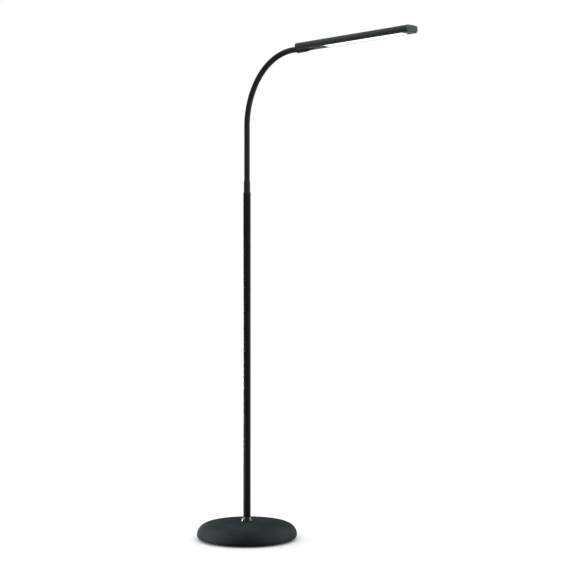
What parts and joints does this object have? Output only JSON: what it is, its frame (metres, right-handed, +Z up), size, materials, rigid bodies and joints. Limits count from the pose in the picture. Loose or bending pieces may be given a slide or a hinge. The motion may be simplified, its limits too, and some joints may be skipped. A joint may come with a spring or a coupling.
{
  "type": "gooseneck reading floor lamp",
  "caption": "Floor lamp with a weighted round base, a slim straight pole, a flexible neck that bends over the top, and a long bar-shaped head with an opal light panel beneath.",
  "frame": {"origin": "centre of the foot mat on the floor, on the pole's axis", "axes": "+Z up along the pole; +X towards the front end of the head"},
  "size_m": [0.6628, 0.25, 1.2155],
  "materials": {
    "mat": "matte black foam rubber",
    "steel": "plain steel",
    "iron": "rough cast",
    "base_satin": "satin, very dark grey with a fine moulded skin",
    "zinc": "zinc plated",
    "cover_black": "matte black, moulded",
    "brass": "plain brass",
    "lead": "black cable jacket",
    "collar_gloss": "gloss black",
    "pole_black": "satin black powder coat",
    "ferrule": "satin black",
    "neck_sleeve": "matte black smooth sleeve",
    "head_satin": "satin dark grey coat",
    "diffuser": "opal white, softly lit",
    "board": "white solder mask",
    "led": "yellow phosphor over white",
    "alu": "plain aluminium",
    "foam": "conductive foam"
  },
  "bodies": {
    "stand": {"foot_mat": "mat", "base_plate": "steel", "base_weight": "iron", "base_cover": "base_satin", "base_screws": "zinc", "power_inlet": "cover_black", "inlet_pin": "brass", "base_lead": "lead", "pole_stud": "zinc", "pole_nut": "zinc", "pole_washer": "zinc", "pole_plug": "steel", "pole_collar": "collar_gloss", "pole_tube": "pole_black", "pole_top_ring": "ferrule", "neck_ferrule": "ferrule", "neck_anchor": "steel", "neck_sleeve": "neck_sleeve", "neck_lead": "lead"},
    "link_01": {"neck_link_01": "steel"},
    "link_02": {"neck_link_02": "steel"},
    "link_03": {"neck_link_03": "steel"},
    "link_04": {"neck_link_04": "steel"},
    "link_05": {"neck_link_05": "steel"},
    "link_06": {"neck_link_06": "steel"},
    "link_07": {"neck_link_07": "steel"},
    "link_08": {"neck_link_08": "steel"},
    "link_09": {"neck_link_09": "steel"},
    "link_10": {"neck_link_10": "steel"},
    "link_11": {"neck_link_11": "steel"},
    "link_12": {"neck_link_12": "steel"},
    "link_13": {"neck_link_13": "steel"},
    "link_14": {"neck_link_14": "steel"},
    "link_15": {"neck_link_15": "steel"},
    "head": {"neck_tip": "steel", "head_housing": "head_satin", "rear_cover": "cover_black", "diffuser": "diffuser", "led_board": "board", "leds": "led", "heat_spreader": "alu", "control_board": "board", "touch_pad": "collar_gloss", "touch_foam": "foam", "head_screws": "zinc", "neck_grub_screw": "zinc"}
  },
  "joints": [
    {"name": "neck_lower_sway", "type": "hinge", "parent": "stand", "child": "link_01", "pos_m": [0, 0, 0.902], "axis": [-1, 0, 0], "range_deg": [-12, 12]},
    {"name": "neck_lower_bend", "type": "hinge", "parent": "link_01", "child": "link_02", "pos_m": [0, 0, 0.92935], "axis": [0, 1, 0], "range_deg": [-14, 14]},
    {"name": "neck_lower_sway_2", "type": "hinge", "parent": "link_02", "child": "link_03", "pos_m": [0, 0, 0.95669], "axis": [-1, 0, 0], "range_deg": [-12, 12]},
    {"name": "neck_lower_bend_2", "type": "hinge", "parent": "link_03", "child": "link_04", "pos_m": [0, 0, 0.98404], "axis": [0, 1, 0], "range_deg": [-14, 14]},
    {"name": "neck_lower_sway_3", "type": "hinge", "parent": "link_04", "child": "link_05", "pos_m": [0, 0, 1.01138], "axis": [-1, 0, 0], "range_deg": [-12, 12]},
    {"name": "neck_upper_bend", "type": "hinge", "parent": "link_05", "child": "link_06", "pos_m": [0.00017, 0, 1.03873], "axis": [0, 1, 0], "range_deg": [-15, 10], "deforming": ["neck_sleeve", "neck_lead"]},
    {"name": "neck_upper_sway", "type": "hinge", "parent": "link_06", "child": "link_07", "pos_m": [0.00338, 0, 1.06586], "axis": [-0.9816, 0, 0.1911], "range_deg": [-12, 12]},
    {"name": "neck_upper_bend_2", "type": "hinge", "parent": "link_07", "child": "link_08", "pos_m": [0.01058, 0, 1.09221], "axis": [0, 1, 0], "range_deg": [-15, 10]},
    {"name": "neck_upper_sway_2", "type": "hinge", "parent": "link_08", "child": "link_09", "pos_m": [0.02162, 0, 1.11721], "axis": [-0.8822, 0, 0.4709], "range_deg": [-12, 12]},
    {"name": "neck_upper_bend_3", "type": "hinge", "parent": "link_09", "child": "link_10", "pos_m": [0.03628, 0, 1.14026], "axis": [0, 1, 0], "range_deg": [-15, 10]},
    {"name": "neck_upper_sway_3", "type": "hinge", "parent": "link_10", "child": "link_11", "pos_m": [0.05458, 0, 1.16053], "axis": [-0.6816, 0, 0.7318], "range_deg": [-12, 12]},
    {"name": "neck_upper_bend_4", "type": "hinge", "parent": "link_11", "child": "link_12", "pos_m": [0.0761, 0, 1.17735], "axis": [0, 1, 0], "range_deg": [-15, 10]},
    {"name": "neck_upper_sway_4", "type": "hinge", "parent": "link_12", "child": "link_13", "pos_m": [0.10019, 0, 1.19022], "axis": [-0.3932, 0, 0.9194], "range_deg": [-12, 12]},
    {"name": "neck_upper_bend_5", "type": "hinge", "parent": "link_13", "child": "link_14", "pos_m": [0.12614, 0, 1.19875], "axis": [0, 1, 0], "range_deg": [-15, 10]},
    {"name": "neck_upper_sway_5", "type": "hinge", "parent": "link_14", "child": "link_15", "pos_m": [0.15316, 0, 1.20269], "axis": [-0.0584, 0, 0.9983], "range_deg": [-12, 12]},
    {"name": "neck_upper_bend_6", "type": "hinge", "parent": "link_15", "child": "head", "pos_m": [0.1805, 0, 1.20296], "axis": [0, 1, 0], "range_deg": [-15, 10]}
  ],
  "couplings": [
    {"joint": "neck_lower_sway_2", "follows": "neck_lower_sway", "ratio": 1},
    {"joint": "neck_lower_bend_2", "follows": "neck_lower_bend", "ratio": 1},
    {"joint": "neck_lower_sway_3", "follows": "neck_lower_sway", "ratio": 1},
    {"joint": "neck_upper_bend_2", "follows": "neck_upper_bend", "ratio": 1},
    {"joint": "neck_upper_sway_2", "follows": "neck_upper_sway", "ratio": 1},
    {"joint": "neck_upper_bend_3", "follows": "neck_upper_bend", "ratio": 1},
    {"joint": "neck_upper_sway_3", "follows": "neck_upper_sway", "ratio": 1},
    {"joint": "neck_upper_bend_4", "follows": "neck_upper_bend", "ratio": 1},
    {"joint": "neck_upper_sway_4", "follows": "neck_upper_sway", "ratio": 1},
    {"joint": "neck_upper_bend_5", "follows": "neck_upper_bend", "ratio": 1},
    {"joint": "neck_upper_sway_5", "follows": "neck_upper_sway", "ratio": 1},
    {"joint": "neck_upper_bend_6", "follows": "neck_upper_bend", "ratio": 1}
  ]
}
